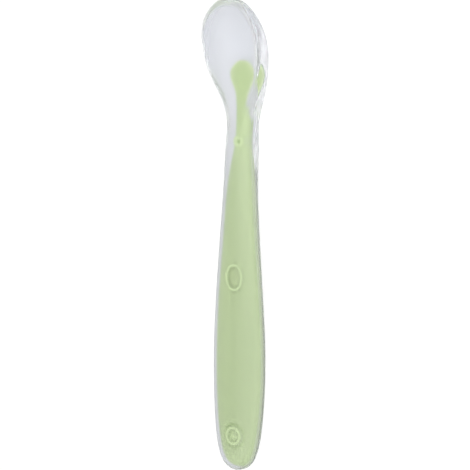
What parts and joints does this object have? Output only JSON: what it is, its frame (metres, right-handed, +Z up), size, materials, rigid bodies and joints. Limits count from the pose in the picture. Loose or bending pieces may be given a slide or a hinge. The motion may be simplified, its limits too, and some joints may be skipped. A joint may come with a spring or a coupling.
{
  "type": "baby spoon",
  "caption": "Soft-tipped baby spoon: clear silicone bowl, neck and handle sheath moulded round a pale green hard insert with a knob end.",
  "frame": {"origin": "centre of the base: under the middle of the spoon's length and width, on the plane that it rests on", "axes": "+Z up out of the open bowl, +Y from the handle's end to the bowl's tip, X across the spoon"},
  "size_m": [0.024, 0.1602, 0.0145],
  "materials": {
    "clear_silicone": "clear, glossy moulded silicone",
    "green_plastic": "satin moulded plastic"
  },
  "bodies": {
    "root": {"silicone_body": "clear_silicone", "handle_core": "green_plastic"}
  },
  "joints": []
}
